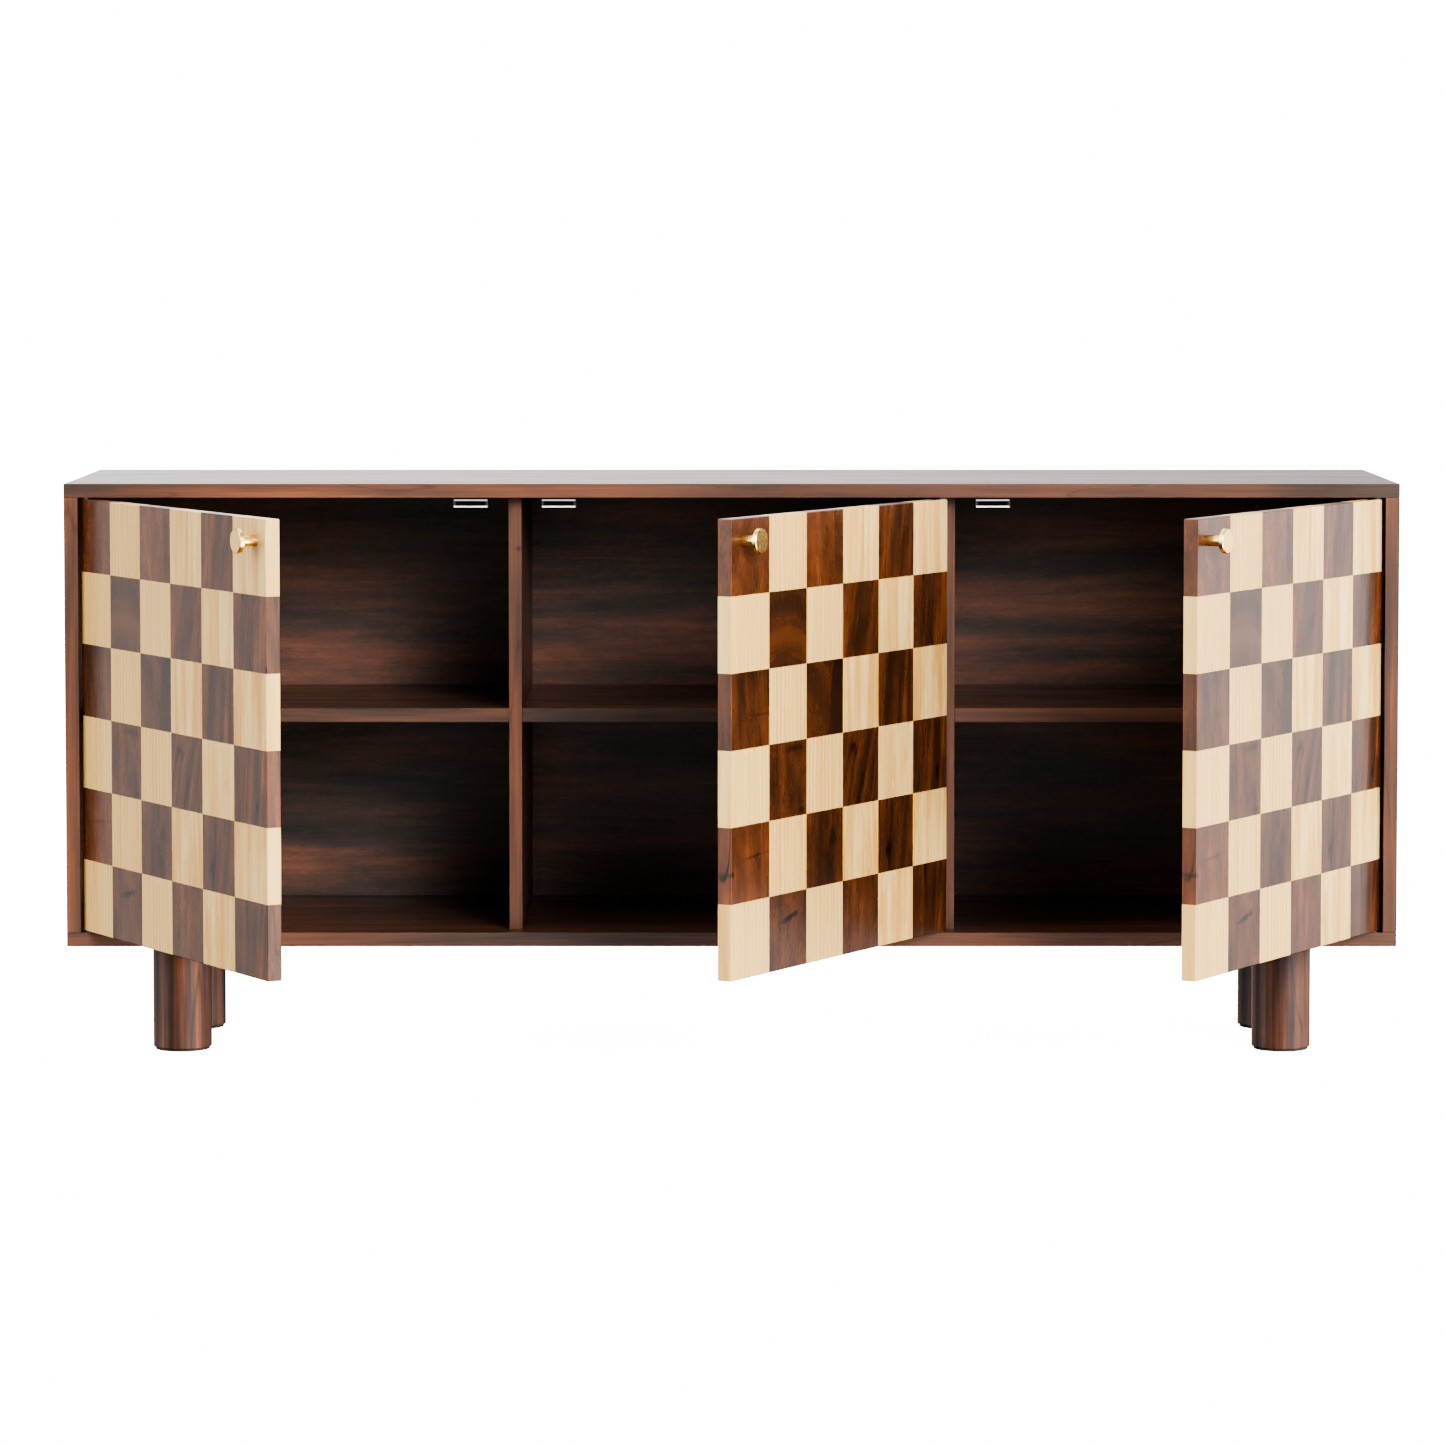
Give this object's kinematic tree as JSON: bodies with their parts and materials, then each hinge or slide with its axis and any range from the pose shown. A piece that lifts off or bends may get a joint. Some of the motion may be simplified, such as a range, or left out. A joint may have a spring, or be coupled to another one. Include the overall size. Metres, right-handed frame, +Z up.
{
  "type": "sideboard",
  "caption": "Long low sideboard with inset checkerboard doors on pivot hinges, cube compartments behind them, round brass knobs and thick round legs.",
  "frame": {"origin": "on the floor, under the centre of the box that holds the unit with its doors open at rest", "axes": "+X to the right seen from the front, +Y to the back, +Z up"},
  "size_m": [1.8, 0.9279, 0.782],
  "materials": {
    "case_wood": "satin dark walnut lacquer",
    "back_wood": "satin dark walnut lacquer",
    "leg_wood": "satin dark walnut lacquer",
    "dowel_wood": "raw beech",
    "dark_block_wood": "semi-gloss lacquer",
    "light_block_wood": "semi-gloss lacquer",
    "glide_rubber": "matte",
    "zinc_steel": "zinc plated",
    "catch_steel": "bright",
    "magnet_ferrite": "matte dark grey",
    "catch_plastic": "matte dark brown",
    "hinge_steel": "black oxide",
    "knob_brass": "satin turned"
  },
  "bodies": {
    "carcass": {"back_panel": "back_wood", "back_panel_screws": "zinc_steel", "bottom_panel": "case_wood", "carcass_dowels": "dowel_wood", "catch_housings": "catch_plastic", "catch_magnets": "magnet_ferrite", "catch_pole_plates": "catch_steel", "catch_screws": "zinc_steel", "divider_dowels": "dowel_wood", "front_left_leg": "leg_wood", "front_right_leg": "leg_wood", "hinge_carcass_leaves": "hinge_steel", "hinge_carcass_screws": "hinge_steel", "hinge_pins": "hinge_steel", "hinge_washers": "hinge_steel", "left_divider": "case_wood", "left_shelf": "case_wood", "left_side_panel": "case_wood", "leg_glides": "glide_rubber", "leg_hanger_bolts": "zinc_steel", "leg_mounting_plates": "zinc_steel", "leg_plate_screws": "zinc_steel", "middle_shelf": "case_wood", "rear_left_leg": "leg_wood", "rear_right_leg": "leg_wood", "right_divider": "case_wood", "right_shelf": "case_wood", "right_side_panel": "case_wood", "shelf_dowels": "dowel_wood", "top_panel": "case_wood"},
    "left_door": {"left_door_dark_blocks": "dark_block_wood", "left_door_hinge_leaves": "hinge_steel", "left_door_hinge_screws": "hinge_steel", "left_door_knob": "knob_brass", "left_door_knob_screw": "zinc_steel", "left_door_light_blocks": "light_block_wood", "left_door_strike_plate": "catch_steel", "left_door_strike_screw": "zinc_steel"},
    "middle_door": {"middle_door_dark_blocks": "dark_block_wood", "middle_door_hinge_leaves": "hinge_steel", "middle_door_hinge_screws": "hinge_steel", "middle_door_knob": "knob_brass", "middle_door_knob_screw": "zinc_steel", "middle_door_light_blocks": "light_block_wood", "middle_door_strike_plate": "catch_steel", "middle_door_strike_screw": "zinc_steel"},
    "right_door": {"right_door_dark_blocks": "dark_block_wood", "right_door_hinge_leaves": "hinge_steel", "right_door_hinge_screws": "hinge_steel", "right_door_knob": "knob_brass", "right_door_knob_screw": "zinc_steel", "right_door_light_blocks": "light_block_wood", "right_door_strike_plate": "catch_steel", "right_door_strike_screw": "zinc_steel"}
  },
  "joints": [
    {"name": "left_door_hinge", "type": "hinge", "parent": "carcass", "child": "left_door", "pos_m": [-0.87, 0.038, 0.4685], "axis": [0, 0, -1], "range_deg": [-60, 50]},
    {"name": "middle_door_hinge", "type": "hinge", "parent": "carcass", "child": "middle_door", "pos_m": [0.28367, 0.038, 0.4685], "axis": [0, 0, 1], "range_deg": [-60, 30]},
    {"name": "right_door_hinge", "type": "hinge", "parent": "carcass", "child": "right_door", "pos_m": [0.87, 0.038, 0.4685], "axis": [0, 0, 1], "range_deg": [-60, 50]}
  ]
}
